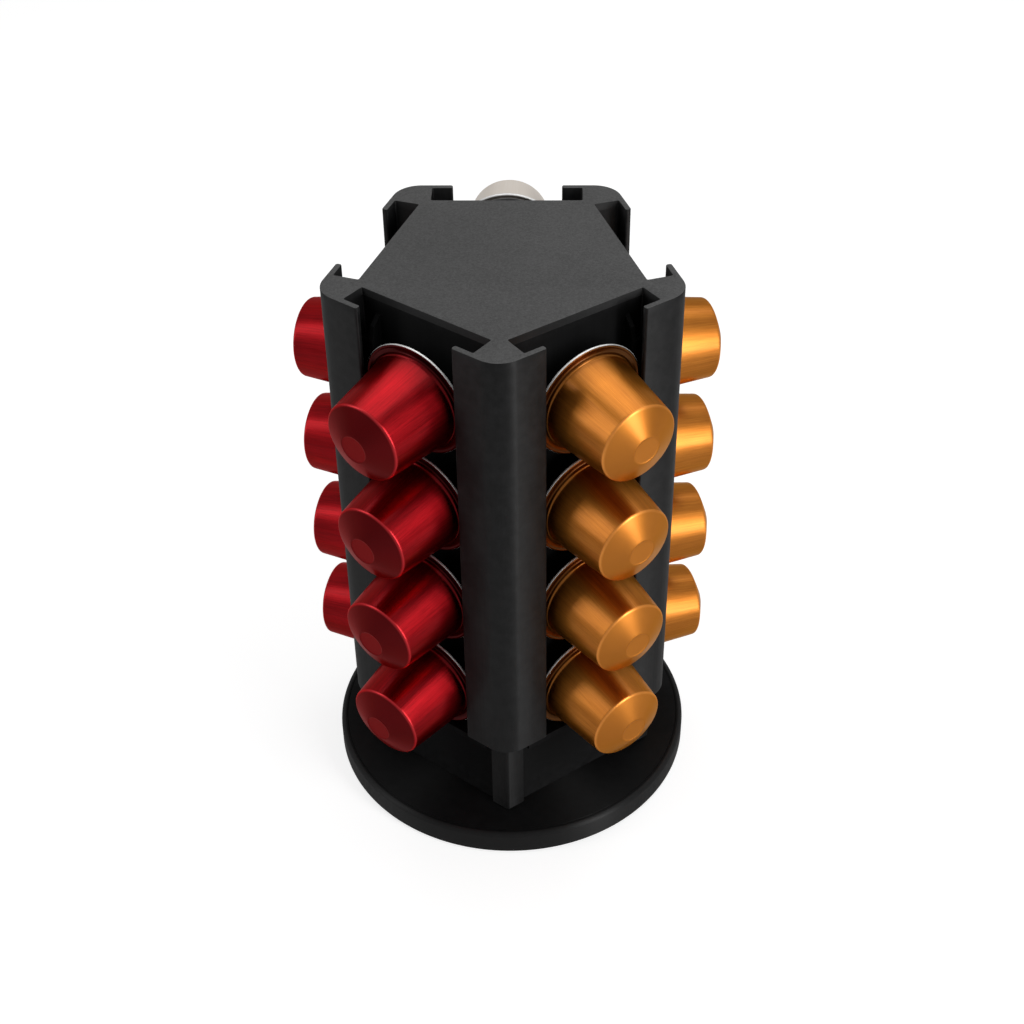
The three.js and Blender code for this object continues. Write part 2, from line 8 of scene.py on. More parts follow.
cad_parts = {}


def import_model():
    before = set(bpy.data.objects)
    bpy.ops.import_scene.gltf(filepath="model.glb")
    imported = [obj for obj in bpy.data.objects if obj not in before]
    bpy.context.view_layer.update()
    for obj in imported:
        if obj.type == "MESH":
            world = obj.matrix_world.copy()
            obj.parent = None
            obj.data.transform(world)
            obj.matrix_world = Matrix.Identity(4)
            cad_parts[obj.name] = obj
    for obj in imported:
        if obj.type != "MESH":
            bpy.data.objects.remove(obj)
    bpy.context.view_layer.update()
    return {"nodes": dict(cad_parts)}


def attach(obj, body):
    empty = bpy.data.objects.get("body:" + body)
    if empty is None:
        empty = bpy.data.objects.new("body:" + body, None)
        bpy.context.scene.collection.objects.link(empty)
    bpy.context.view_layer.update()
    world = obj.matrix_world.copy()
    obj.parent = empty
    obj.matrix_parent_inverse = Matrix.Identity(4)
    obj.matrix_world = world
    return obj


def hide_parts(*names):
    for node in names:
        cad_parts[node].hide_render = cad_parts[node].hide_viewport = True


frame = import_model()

# A revolving tower of coffee capsules on a round base. Meshes are drawn in millimetres with Z up
# along the turning axis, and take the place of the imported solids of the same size.

MM = 0.001
scatter = random.Random(7)
OWN_PLACE = "own_place"

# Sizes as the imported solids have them. An apothem is a distance from the axis square to a face.

SIDES = 5
ROWS = 4
HALF_CORNER = math.pi / SIDES
FACE_APOTHEM = 36.5
LIP_INNER = 44.5
LIP_OUTER = 46.4
SLOT_HALF = 23.7
WINDOW_HALF = 17.3
CORNER_RADIUS = 9.0
POST_APOTHEM = 41.6
POST_CREASE = 1.2
FRONT_HEAD_BOTTOM = 42.5
SIDE_HEAD_BOTTOM = 35.5
TOWER_BOTTOM = 10.3
TONGUE_BOTTOM = 13.8
CHANNEL_FLOOR = 38.0
SIDE_FLOOR_DROP = 12.4
REAR_FLOOR_RISE = 6.2
DROOP = math.radians(4.0)
RIM_RADIUS = 18.5
RIM_THICKNESS = 1.4
SEAT_GAP = 0.3
RIM_BACK_APOTHEM = 41.9
ROW_PITCH = 2 * RIM_RADIUS * math.cos(DROOP) + RIM_THICKNESS * math.sin(DROOP) + SEAT_GAP
FIRST_ROW = CHANNEL_FLOOR + ROW_PITCH - RIM_RADIUS * math.cos(DROOP)
ABOVE_LAST_RIM = 7.8
CAP_THICKNESS = 2.5
TOWER_TOP = CHANNEL_FLOOR + ROWS * ROW_PITCH + ABOVE_LAST_RIM
CAP_BOTTOM = TOWER_TOP - CAP_THICKNESS
BASE_RADIUS = 61.9
BASE_BOTTOM = 0.8
BASE_TOP = 9.3
PAD_TOP = 1.5

CORNERS = ["front", "left", "rear_left", "rear_right", "right"]
FACES = ["front_left", "rear_left", "rear", "rear_right", "front_right"]
FLOOR_STEPS = [0.0, -SIDE_FLOOR_DROP, REAR_FLOOR_RISE, -SIDE_FLOOR_DROP, 0.0]
FACE_FINISH = {
    "front_left": "capsule_red",
    "rear_left": "capsule_red",
    "rear": "capsule_champagne",
    "rear_right": "capsule_amber",
    "front_right": "capsule_amber",
}


def corner_angle(k):
    return -math.pi / 2 - k * math.tau / SIDES


def face_angle(k):
    return corner_angle(k) - HALF_CORNER


# Shader graphs


class Tap:
    """An output socket of a material's graph, used in expressions as a value."""

    def __init__(self, graph, socket):
        self.graph = graph
        self.socket = socket

    def _math(self, operation, first, second):
        return self.graph.node("ShaderNodeMath", {"operation": operation}, {0: first, 1: second})

    def __add__(self, other):
        return self._math("ADD", self, other)

    def __rsub__(self, other):
        return self._math("SUBTRACT", other, self)

    def __mul__(self, other):
        return self._math("MULTIPLY", self, other)


class Finish:
    """A material whose graph is written as expressions."""

    def __init__(self, name):
        self.material = bpy.data.materials.new(name)
        self.material.use_nodes = True
        self.tree = self.material.node_tree
        self.shader = self.tree.nodes["Principled BSDF"]

    def node(self, kind, settings=None, values=None, out=0):
        made = self.tree.nodes.new(kind)
        for key, value in (settings or {}).items():
            setattr(made, key, value)
        for key, value in (values or {}).items():
            self.feed(made.inputs[key], value)
        return Tap(self, made.outputs[out])

    def feed(self, socket, value):
        if isinstance(value, Tap):
            self.tree.links.new(value.socket, socket)
        elif isinstance(value, tuple) and len(value) == 3 and socket.type == "RGBA":
            socket.default_value = (*value, 1.0)
        else:
            socket.default_value = value

    def set(self, **values):
        for key, value in values.items():
            self.feed(self.shader.inputs[key.replace("_", " ")], value)

    def place(self):
        return self.node("ShaderNodeTexCoord", out="Object")

    def own_place(self):
        """The place on a capsule as if it stood upright on its rim."""
        return self.node("ShaderNodeAttribute", {"attribute_name": OWN_PLACE}, out="Vector")

    def stretched(self, scale, where=None):
        values = {0: where or self.place(), 1: scale}
        return self.node("ShaderNodeVectorMath", {"operation": "MULTIPLY"}, values)

    def noise(self, where, scale, detail=3.0, roughness=0.55):
        values = {"Vector": where, "Scale": scale, "Detail": detail, "Roughness": roughness}
        return self.node("ShaderNodeTexNoise", None, values, out="Fac")

    def span(self, value, low, high, to_low=0.0, to_high=1.0):
        """Maps low..high onto to_low..to_high and holds the value beyond them."""
        values = {
            "Value": value, "From Min": low, "From Max": high, "To Min": to_low, "To Max": to_high,
        }
        return self.node("ShaderNodeMapRange", {"clamp": True}, values, out="Result")

    def rising(self, length, ends):
        """From 0 at the first length to 1 at the second, both in millimetres."""
        return self.span(length, ends[0] * MM, ends[1] * MM)

    def falling(self, length, ends, top=1.0):
        """From top at the first length to 0 at the second, both in millimetres."""
        return self.span(length, ends[0] * MM, ends[1] * MM, top, 0.0)

    def mix(self, share, first, second):
        values = {"Factor": share, 6: first, 7: second}
        return self.node("ShaderNodeMix", {"data_type": "RGBA"}, values, out=2)

    def edge(self):
        """1 on outer edges, 0 on flat faces."""
        return self.span(self.node("ShaderNodeNewGeometry", out="Pointiness"), 0.52, 0.58)

    def bump(self, height, strength, distance):
        """Relief; the distance is in millimetres."""
        values = {"Height": height, "Strength": strength, "Distance": distance * MM}
        return self.node("ShaderNodeBump", None, values, out="Normal")


# Highlights on the black mouldings are drawn out upright, along their fine streaks
UPRIGHT_STRETCH = 0.9
UPRIGHT_TURN = 0.25


def moulded_black(name, dark, light, roughness, sheen, rubbing_and_highlight=2.6):
    """Satin black moulding: fine grain, faint upright streaks, and edges paler, partly rubbed and
    partly a painted highlight.
    """
    f = Finish(name)
    grain_height = f.noise(f.place(), 2600.0, 2.0, 0.6)
    streaks = f.noise(f.stretched((1300.0, 1300.0, 9.0)), 1.0, 2.0, 0.6)
    clouds = f.noise(f.place(), 26.0, 2.0, 0.5)
    # Edge mask under noise: the paler edges are partly rubbing and partly a painted highlight where
    # edges catch the light.
    rubbed_and_lit_edges = f.edge() * f.span(f.noise(f.place(), 300.0), 0.35, 0.7)
    body = f.mix(f.span(streaks * 0.75 + clouds * 0.25, 0.36, 0.64), dark, light)
    # How far the edges are lightened, as rubbing and as painted highlight.
    pale = tuple(v * rubbing_and_highlight for v in light)
    f.set(
        Base_Color=f.mix(rubbed_and_lit_edges * 0.5, body, pale),
        Roughness=f.span(
            streaks * 0.8 + clouds * 0.2, 0.35, 0.65, roughness - 0.03, roughness + 0.05
        ),
        Specular_IOR_Level=sheen,
        Anisotropic=UPRIGHT_STRETCH,
        Anisotropic_Rotation=UPRIGHT_TURN,
        Normal=f.bump(grain_height + streaks * 0.5, 0.35, 0.03),
    )
    return f.material


def grained_top():
    """The matt top: a fine pebbled grain that catches the light, in a grey painted paler than the
    black sides as light from above, with its edges lightened as a painted highlight.
    """
    f = Finish("grained_top")
    pebbles = f.noise(f.place(), 1500.0, 3.0, 0.65)
    specks = f.noise(f.place(), 3400.0, 1.0, 0.5)
    clouds = f.noise(f.place(), 45.0, 3.0, 0.6)
    mottle = f.span(pebbles * 0.5 + specks * 0.25 + clouds * 0.25, 0.38, 0.62)
    # Grain mottle in a grey that is paler than the black sides as painted light from above.
    shade = f.mix(mottle, (0.046, 0.046, 0.046), (0.092, 0.092, 0.092))
    f.set(
        # Edges lightened: a painted highlight.
        Base_Color=f.mix(f.edge() * 0.25, shade, (0.16, 0.16, 0.16)),
        Roughness=f.span(clouds, 0.35, 0.65, 0.66, 0.78),
        Specular_IOR_Level=0.3,
        Normal=f.bump(pebbles + specks * 0.5, 0.5, 0.09),
    )
    return f.material


# Bands on a capsule that stands on its rim: heights, and the radius of the disc stamped in its nose
# The fold band and the band above the flange carry painted shade, the shoulder band a painted
# highlight.
FOLD = (1.05, 2.4)
FLANGE_SHADE_BAND = (2.0, 11.0)
SHOULDER_START = (24.0, 24.3)
SHOULDER_END = (24.5, 24.8)
CONE_START = (24.3, 24.8)
STAMP_START = (27.0, 27.5)
STAMP_EDGE = (4.25, 4.45)


def anodised(
    name, deep, bright, sheen, cone_depth, cone_shade=0.0, roughness=0.34, coat=0.2, metallic=1.0
):
    """Drawn and dyed aluminium: fine lines along the cup and a plain nose cone, with painted shade
    at the fold, above the flange and on the cone, a painted highlight on the shoulder and a painted
    reflection on the stamped nose disc.

    cone_depth is the cone's place between deep and bright, and the argument after it how far
    painted shade darkens the cone.
    """
    f = Finish(name)
    flat = f.stretched((1.0, 1.0, 0.0), f.own_place())
    around = f.node("ShaderNodeVectorMath", {"operation": "NORMALIZE"}, {0: flat})
    lengthways = f.stretched((0.0, 0.0, 1.4), f.own_place())
    drawn = f.node("ShaderNodeVectorMath", {"operation": "ADD"}, {0: around, 1: lengthways})
    height = f.node("ShaderNodeSeparateXYZ", None, {0: f.own_place()}, out="Z")
    cone = f.rising(height, CONE_START)
    fine = f.noise(drawn, 95.0, 3.0, 0.6)
    broad = f.noise(drawn, 16.0, 2.0, 0.5)
    clouds = f.noise(f.own_place(), 55.0, 2.0, 0.5)
    lines = f.span(fine * 0.5 + broad * 0.25 + clouds * 0.25, 0.34, 0.66)
    smooth = f.span(clouds, 0.3, 0.7, cone_depth - 0.1, cone_depth + 0.1)
    depth = lines * (1.0 - cone) + smooth * cone
    # glint is a painted highlight colour, used for the shoulder and for the nose disc's painted
    # reflection.
    glint = tuple(min(1.0, v * 1.5 + 0.03) for v in bright)
    # dark is the colour of the painted shade on the capsule.
    dark = tuple(v * 0.25 for v in deep)
    out = f.node("ShaderNodeVectorMath", {"operation": "LENGTH"}, {0: flat}, out="Value")
    stamped = f.falling(out, STAMP_EDGE) * f.rising(height, STAMP_START)
    shoulder = f.rising(height, SHOULDER_START) * f.falling(height, SHOULDER_END)
    # Darkening at the fold of the flange: painted shade.
    fold_shade = f.falling(height, FOLD)
    # Darkening of the cup above the flange: painted shade.
    flange_shade = f.falling(height, FLANGE_SHADE_BAND, 0.55)
    # The cone is darkened as painted shade as far as its cone argument sets.
    body = f.mix(flange_shade + cone * cone_shade, f.mix(depth, deep, bright), dark)
    # The stamped nose disc is lightened towards glint as a painted reflection.
    shade = f.mix(fold_shade, f.mix(stamped * 0.16, body, glint), dark)
    f.set(
        # A painted highlight along the shoulder.
        Base_Color=f.mix(shoulder * 0.75, shade, glint),
        Metallic=metallic,
        Roughness=f.span(fine, 0.3, 0.7, roughness - 0.02, roughness + 0.03) + stamped * 0.06,
        Specular_Tint=sheen,
        Coat_Weight=coat,
        Coat_Roughness=0.22,
        Normal=f.bump(fine * (1.0 - cone * 0.85), 0.14, 0.02),
    )
    return f.material


def bare_metal(name, dark, light, roughness, scale=900.0, strength=0.15, metallic=1.0):
    """Plain metal with a light brushed or rolled surface."""
    f = Finish(name)
    lines = f.noise(f.stretched((1.0, 1.0, 0.2)), scale, 3.0, 0.6)
    clouds = f.noise(f.place(), 130.0, 3.0, 0.55)
    f.set(
        Base_Color=f.mix(f.span(lines * 0.6 + clouds * 0.4, 0.35, 0.65), dark, light),
        Metallic=metallic,
        Roughness=f.span(clouds, 0.35, 0.65, roughness - 0.04, roughness + 0.08),
        Normal=f.bump(lines, strength, 0.04),
    )
    return f.material


def soft_polymer(name, dark, light, roughness, grain_scale, strength):
    """Rubber or nylon: a matt body with an even fine grain."""
    f = Finish(name)
    grain = f.noise(f.place(), grain_scale, 3.0, 0.6)
    clouds = f.noise(f.place(), 90.0, 3.0, 0.6)
    f.set(
        Base_Color=f.mix(f.span(grain * 0.4 + clouds * 0.6, 0.36, 0.64), dark, light),
        Roughness=f.span(clouds, 0.35, 0.65, roughness - 0.06, roughness + 0.06),
        Specular_IOR_Level=0.3,
        Normal=f.bump(grain, strength, 0.08),
    )
    return f.material


FINISH = {
    "rail": moulded_black(
        "rail_black", (0.0048, 0.0048, 0.0050), (0.0084, 0.0084, 0.0087), 0.50, 0.24
    ),
    # The core is the rails' black moulding made darker as painted shade, with its rib edges
    # lightened further as a painted highlight.
    "core": moulded_black(
        "core_black_painted_shade", (0.0022, 0.0022, 0.0023), (0.0044, 0.0044, 0.0046), 0.60, 0.08, rubbing_and_highlight=4.0
    ),
    # The base disc is one black moulding in two copies: its top darker as painted shade, its wall
    # lighter as painted light.
    "disc": moulded_black(
        "disc_top_black_painted_shade", (0.0015, 0.0015, 0.0016), (0.0030, 0.0030, 0.0031), 0.54, 0.15
    ),
    "disc_wall": moulded_black(
        "disc_wall_black_painted_light", (0.0036, 0.0036, 0.0037), (0.0064, 0.0064, 0.0066), 0.47, 0.28
    ),
    "top": grained_top(),
    # The red's low cone place and its darkened cone are painted shade on the nose.
    "capsule_red": anodised(
        "anodised_red", (0.16, 0.0010, 0.003), (0.43, 0.0050, 0.010), (1.0, 0.12, 0.12), 0.1,
        cone_shade=0.40, roughness=0.31, coat=0.16,
    ),
    "capsule_amber": anodised(
        "anodised_amber", (0.37, 0.112, 0.012), (0.64, 0.228, 0.031), (1.0, 0.70, 0.35), 0.62
    ),
    "capsule_champagne": anodised(
        "anodised_champagne", (0.92, 0.83, 0.74), (0.97, 0.90, 0.82), (1.0, 0.96, 0.91), 0.7,
        metallic=0.4,
    ),
    "rim": bare_metal("rolled_rim", (0.84, 0.84, 0.83), (0.93, 0.93, 0.92), 0.38, metallic=0.5),
    "foil": bare_metal("lid_foil", (0.66, 0.66, 0.67), (0.80, 0.80, 0.81), 0.36, 420.0, 0.3),
    "steel": bare_metal("turned_steel", (0.46, 0.46, 0.47), (0.60, 0.60, 0.61), 0.28),
    "rubber": soft_polymer(
        "pad_rubber", (0.010, 0.010, 0.010), (0.018, 0.018, 0.018), 0.85, 1400.0, 0.4
    ),
    "nylon": soft_polymer(
        "nylon_white", (0.66, 0.63, 0.56), (0.78, 0.75, 0.68), 0.55, 900.0, 0.15
    ),
}


# Mesh helpers

# Closer than this to the axis or to a level, a point counts as on it
ON_AXIS = 1e-6
LEVEL_SLACK = 0.01


def finished(bm, name, materials, sharp=32.0, pick=None):
    """Makes an object of a bmesh in millimetres, smooth except at edges above the sharp angle.

    pick gives a face its place in the list of materials.
    """
    bmesh.ops.remove_doubles(bm, verts=bm.verts, dist=0.0005)
    bmesh.ops.recalc_face_normals(bm, faces=bm.faces)
    for face in bm.faces:
        face.smooth = True
        face.material_index = pick(face) if pick else 0
    mesh = bpy.data.meshes.new(name)
    bmesh.ops.scale(bm, vec=(MM, MM, MM), verts=bm.verts)
    bm.to_mesh(mesh)
    bm.free()
    mesh.set_sharp_from_angle(angle=math.radians(sharp))
    for key in materials:
        mesh.materials.append(FINISH[key])
    piece = bpy.data.objects.new(name, mesh)
    bpy.context.scene.collection.objects.link(piece)
    return piece


def lathe(bm, profile, steps):
    """Turns a closed outline of (radius, height) about Z. Points on the axis make poles."""
    rings = []
    for radius, height in profile:
        if radius < ON_AXIS:
            rings.append([bm.verts.new((0.0, 0.0, height))])
            continue
        turns = [i * math.tau / steps for i in range(steps)]
        ring = [(radius * math.cos(a), radius * math.sin(a), height) for a in turns]
        rings.append([bm.verts.new(point) for point in ring])
    count = len(rings)
    closed = profile[0][0] > ON_AXIS
    for a in range(count if closed else count - 1):
        low, high = rings[a], rings[(a + 1) % count]
        for i in range(steps):
            j = (i + 1) % steps
            corners = [
                low[i % len(low)], low[j % len(low)], high[j % len(high)], high[i % len(high)],
            ]
            distinct = list(dict.fromkeys(corners))
            if len(distinct) > 2:
                bm.faces.new(distinct)


def rounded(outline, radii, steps=4):
    """Rounds the corners of a closed plan outline; radii gives each corner's radius, 0 for none."""
    made = []
    for i, point in enumerate(outline):
        radius = radii[i]
        here = Vector(point)
        before = Vector(outline[i - 1]) - here
        after = Vector(outline[(i + 1) % len(outline)]) - here
        if not radius:
            made.append(tuple(here))
            continue
        half = before.angle(after) / 2
        reach = min(radius / math.tan(half), before.length * 0.49, after.length * 0.49)
        size = reach * math.tan(half)
        bisector = (before.normalized() + after.normalized()).normalized()
        centre = here + bisector * (size / math.sin(half))
        start = here + before.normalized() * reach - centre
        end = here + after.normalized() * reach - centre
        turn = start.angle_signed(end)
        for step in range(steps + 1):
            swing = -turn * step / steps
            made.append((
                centre.x + start.x * math.cos(swing) - start.y * math.sin(swing),
                centre.y + start.x * math.sin(swing) + start.y * math.cos(swing),
            ))
    return made


def arc(centre, radius, start, end, steps):
    """Points of an arc in a turned outline, in degrees from the outward direction."""
    points = []
    for i in range(steps + 1):
        a = math.radians(start + (end - start) * i / steps)
        points.append((centre[0] + radius * math.cos(a), centre[1] + radius * math.sin(a)))
    return points


def prism(bm, outline, bottom, top):
    lower = [bm.verts.new((x, y, bottom)) for x, y in outline]
    upper = [bm.verts.new((x, y, top)) for x, y in outline]
    count = len(outline)
    for i in range(count):
        j = (i + 1) % count
        bm.faces.new((lower[i], lower[j], upper[j], upper[i]))
    bm.faces.new(list(reversed(lower)))
    bm.faces.new(upper)


def softened(bm, wanted, width):
    """Rounds over the edges that the test picks, where two faces really meet at an angle."""
    bm.normal_update()
    edges = [
        e for e in bm.edges
        if len(e.link_faces) == 2 and e.calc_face_angle() > math.radians(25) and wanted(e)
    ]
    bmesh.ops.bevel(
        bm, geom=edges, offset=width, offset_type="OFFSET", segments=2, profile=0.5,
        affect="EDGES", clamp_overlap=True,
    )


# Plans of a corner, in which X points out through the corner


def beside_corner(out, along):
    """A point by its distance out, square to a face, and along that face from its middle."""
    return (
        out * math.cos(HALF_CORNER) + along * math.sin(HALF_CORNER),
        out * math.sin(HALF_CORNER) - along * math.cos(HALF_CORNER),
    )


def corner_arc(apothem, radius, steps):
    centre = (apothem - radius) / math.cos(HALF_CORNER)
    angles = [HALF_CORNER * i / steps for i in range(steps, -1, -1)]
    return [(centre + radius * math.cos(a), radius * math.sin(a)) for a in angles]


# Where a rail leaves the core, and behind it the neck of its tongue and the tongue's wider head
NOTCH = beside_corner(FACE_APOTHEM, SLOT_HALF)
TONGUE_NECK = 2.9
TONGUE_HEAD = (4.0, 2.0)


def tongue_half():
    inner = NOTCH[0] - TONGUE_NECK
    wide, deep = TONGUE_HEAD
    return [(inner - deep, wide), (inner, wide), (inner, NOTCH[1]), NOTCH]


def head_half():
    return [
        beside_corner(LIP_INNER, SLOT_HALF),
        beside_corner(LIP_INNER, WINDOW_HALF),
        beside_corner(LIP_OUTER, WINDOW_HALF),
        *corner_arc(LIP_OUTER, CORNER_RADIUS, 14),
    ]


def both_halves(half):
    """Closes a half outline, given from the axis side outwards and round to the middle."""
    return half + [(x, -y) for x, y in reversed(half) if abs(y) > ON_AXIS]


def head_radii():
    """Corner radii of half a head: the inner corner of the slot, then the two of the lip's end."""
    lip = [0.5, 0.6, 0.7]
    return lip + [0.0] * (len(head_half()) - len(lip))


def mirrored_radii(half, radii):
    return [r for (x, y), r in zip(reversed(half), reversed(radii)) if abs(y) > ON_AXIS]


def rail_outline():
    tongue = tongue_half()
    half = tongue + head_half()
    radii = [0.0] * len(tongue) + head_radii()
    return rounded(both_halves(half), radii + mirrored_radii(half, radii))


def unioned(solids, name):
    """Joins overlapping solids, each a bmesh, into one closed mesh."""
    objects = []
    for i, solid in enumerate(solids):
        bmesh.ops.recalc_face_normals(solid, faces=solid.faces)
        mesh = bpy.data.meshes.new(f"{name}_{i}")
        solid.to_mesh(mesh)
        solid.free()
        made = bpy.data.objects.new(f"{name}_{i}", mesh)
        bpy.context.scene.collection.objects.link(made)
        objects.append(made)
    base = objects[0]
    for other in objects[1:]:
        joiner = base.modifiers.new("join", "BOOLEAN")
        joiner.operation = "UNION"
        joiner.solver = "EXACT"
        joiner.object = other
    bpy.context.view_layer.update()
    graph = bpy.context.evaluated_depsgraph_get()
    joined = bmesh.new()
    joined.from_object(base, graph)
    for made in objects:
        bpy.data.objects.remove(made)
    bmesh.ops.dissolve_limit(
        joined, angle_limit=math.radians(0.5), verts=joined.verts, edges=joined.edges
    )
    return joined


def replaced(piece, node, body):
    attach(piece, body)
    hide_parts(node)


# Corner rails

# How far the solids of one rail reach into each other, what its foot keeps of the tongue's neck
# (depth, and how much narrower on each side), and how wide its edges are softened
OVERLAP = 1.0
FOOT_INSET = (0.3, 0.2)
RAIL_EDGE = 0.3


def rail_mesh(head_bottom):
    head = bmesh.new()
    prism(head, rail_outline(), head_bottom, CAP_BOTTOM)
    post_half = [beside_corner(POST_APOTHEM, SLOT_HALF), *corner_arc(POST_APOTHEM, POST_CREASE, 8)]
    post = bmesh.new()
    prism(post, both_halves(tongue_half() + post_half), TONGUE_BOTTOM, head_bottom + OVERLAP)
    foot_start = [(NOTCH[0] - FOOT_INSET[0], NOTCH[1] - FOOT_INSET[1]), NOTCH]
    foot = bmesh.new()
    prism(foot, both_halves(foot_start + post_half), TOWER_BOTTOM, TONGUE_BOTTOM + OVERLAP)
    bm = unioned([head, post, foot], "rail")

    def outer_edge(edge):
        middle = (edge.verts[0].co + edge.verts[1].co) / 2
        return middle.x > NOTCH[0] + 0.5 and middle.z < CAP_BOTTOM - LEVEL_SLACK

    softened(bm, outer_edge, RAIL_EDGE)
    return bm


def rails():
    front = finished(rail_mesh(FRONT_HEAD_BOTTOM), "front_template", ["rail"])
    other = finished(rail_mesh(SIDE_HEAD_BOTTOM), "other_template", ["rail"])
    for k, corner in enumerate(CORNERS):
        mesh = (front if k == 0 else other).data.copy()
        mesh.transform(Matrix.Rotation(corner_angle(k), 4, "Z"))
        piece = bpy.data.objects.new(f"rail_{corner}", mesh)
        bpy.context.scene.collection.objects.link(piece)
        replaced(piece, f"corner_rail_{corner}", "tower")
    bpy.data.objects.remove(front)
    bpy.data.objects.remove(other)


# Top

TOP_EDGE = 0.28


def top_outline():
    """The five heads in a ring, joined straight across the faces of the tower."""
    half = [NOTCH] + head_half()
    radii = [0.4] + head_radii()
    section = [(x, -y) for x, y in half] + [(x, y) for x, y in reversed(half) if abs(y) > ON_AXIS]
    section_radii = radii + mirrored_radii(half, radii)
    whole = []
    for k in range(SIDES):
        angle = -math.pi / 2 + k * math.tau / SIDES
        cos, sin = math.cos(angle), math.sin(angle)
        whole += [(x * cos - y * sin, x * sin + y * cos) for x, y in section]
    return rounded(whole, section_radii * SIDES)


def top_cap():
    bm = bmesh.new()
    prism(bm, top_outline(), CAP_BOTTOM, TOWER_TOP)

    def top_edge(edge):
        return all(v.co.z > TOWER_TOP - LEVEL_SLACK for v in edge.verts)

    softened(bm, top_edge, TOP_EDGE)

    # Upward faces take the top's grey, painted paler than the black sides as light from above.
    def pick(face):
        return 0 if face.normal.z > 0.5 else 1

    piece = finished(bm, "top_plate", ["top", "rail"], pick=pick)
    replaced(piece, "top_cap", "tower")


# Base

DISC_ROUNDING = 1.5
LOWER_ROUNDING = 0.8
GROOVE_INSET = 2.3
GROOVE_RADIUS = 0.3


def base_disc():
    r, low, top, pocket = BASE_RADIUS, BASE_BOTTOM, BASE_TOP, PAD_TOP + 0.3
    profile = [
        # Recess of the bearing, hole of the bolt and pocket of its head
        (18.3, 6.0), (3.3, 6.0), (3.3, 3.6), (5.8, 3.6), (5.8, pocket),
        # Pockets of the two pads
        (7.3, pocket), (7.3, low),
        (45.7, low), (45.7, pocket), (52.3, pocket), (52.3, low),
        # Wall and the fine groove inside its upper edge
        *arc((r - LOWER_ROUNDING, low + LOWER_ROUNDING), LOWER_ROUNDING, -90, 0, 5),
        *arc((r - DISC_ROUNDING, top - DISC_ROUNDING), DISC_ROUNDING, 0, 90, 8),
        *arc((r - GROOVE_INSET, top), GROOVE_RADIUS, 0, -180, 6),
        # Shallow ring around the recess
        (24.0, top), (23.6, top - 0.25), (20.0, top - 0.25), (19.6, top),
        (18.5, top), (18.3, top - 0.2),
    ]
    bm = bmesh.new()
    lathe(bm, [(a, min(b, top)) for a, b in profile], 180)

    # The outer rounding and wall take the lighter copy of the black as painted light, the top the
    # darker copy as painted shade.
    def pick(face):
        middle = face.calc_center_median()
        return 1 if math.hypot(middle.x, middle.y) > r - DISC_ROUNDING - 0.1 else 0

    piece = finished(bm, "turning_base", ["disc", "disc_wall"], pick=pick)
    replaced(piece, "base_disc", "base")


def pads():
    bm = bmesh.new()
    ring_tread = [(46.0, PAD_TOP), (46.0, 0.3), (46.3, 0.0)]
    for start in (47.0, 48.0, 49.0, 50.0, 51.0):
        ring_tread += [(start, 0.0), (start + 0.15, 0.3), (start + 0.35, 0.3), (start + 0.5, 0.0)]
    ring_tread += [(51.7, 0.0), (52.0, 0.3), (52.0, PAD_TOP)]
    lathe(bm, ring_tread, 150)
    replaced(finished(bm, "grip_ring", ["rubber"]), "foot_ring", "base")
    bm = bmesh.new()
    lathe(bm, [
        (0.0, 0.0), (3.4, 0.0), (3.6, 0.3), (3.9, 0.3), (4.1, 0.0), (6.7, 0.0), (7.0, 0.3),
        (7.0, PAD_TOP), (0.0, PAD_TOP),
    ], 72)
    replaced(finished(bm, "grip_pad", ["rubber"]), "pivot_cover", "base")


# Capsules


def cup_mesh():
    """The cup from the inside of its nose, round the rolled rim, to the outside of its nose."""
    inner = [
        (0.0, 26.8), (5.0, 26.8), (5.7, 26.6), (11.6, 23.95), (12.1, 23.4), (14.6, 2.3),
        (14.9, 1.1), (15.2, 0.84), (17.3, 0.80),
    ]
    bead = arc((17.95, 0.74), 0.54, 200, 500, 18)
    outside = [
        (17.42, 1.02), (17.25, 0.99), (16.50, 0.98), (16.22, 1.02), (16.02, 1.16), (15.92, 1.40),
        (15.90, 1.72), (15.82, 1.94), (15.66, 2.08), (15.50, 2.18), (15.38, 2.40), (15.32, 2.80),
        (14.66, 8.4), (14.07, 13.4), (13.52, 18.2), (12.88, 23.7), (12.83, 24.12), (12.74, 24.38),
        (12.56, 24.56), (12.28, 24.70), (10.00, 25.76), (7.60, 26.82), (4.95, 27.98), (4.75, 28.06),
        (4.56, 28.10), (4.38, 28.08), (4.22, 28.00), (4.06, 27.95), (3.8, 27.94), (2.2, 27.93),
        (0.0, 27.93),
    ]
    bm = bmesh.new()
    lathe(bm, inner + bead + outside, 96)
    return bm


def lid_mesh():
    """The foil lid, flat towards the cup and with rings pressed into its outer side."""
    back = [(17.0, 0.45), (16.9, 0.40)]
    for radius in (15.6, 12.4, 9.2, 6.0, 2.8):
        back += [
            (radius + 0.5, 0.40), (radius + 0.2, 0.48), (radius - 0.2, 0.48), (radius - 0.5, 0.40),
        ]
    back.append((0.0, 0.40))
    bm = bmesh.new()
    lathe(bm, [(0.0, 0.7), (16.9, 0.7), (17.0, 0.65), *back], 72)
    return bm


def keep_own_place(mesh):
    """Stores each point's place before the mesh is moved to its channel."""
    places = [value for vertex in mesh.vertices for value in vertex.co]
    mesh.attributes.new(OWN_PLACE, "FLOAT_VECTOR", "POINT").data.foreach_set("vector", places)


# The part of the rolled rim that is left undyed
BARE_RADIUS = 18.0
BARE_HEIGHT = 1.05


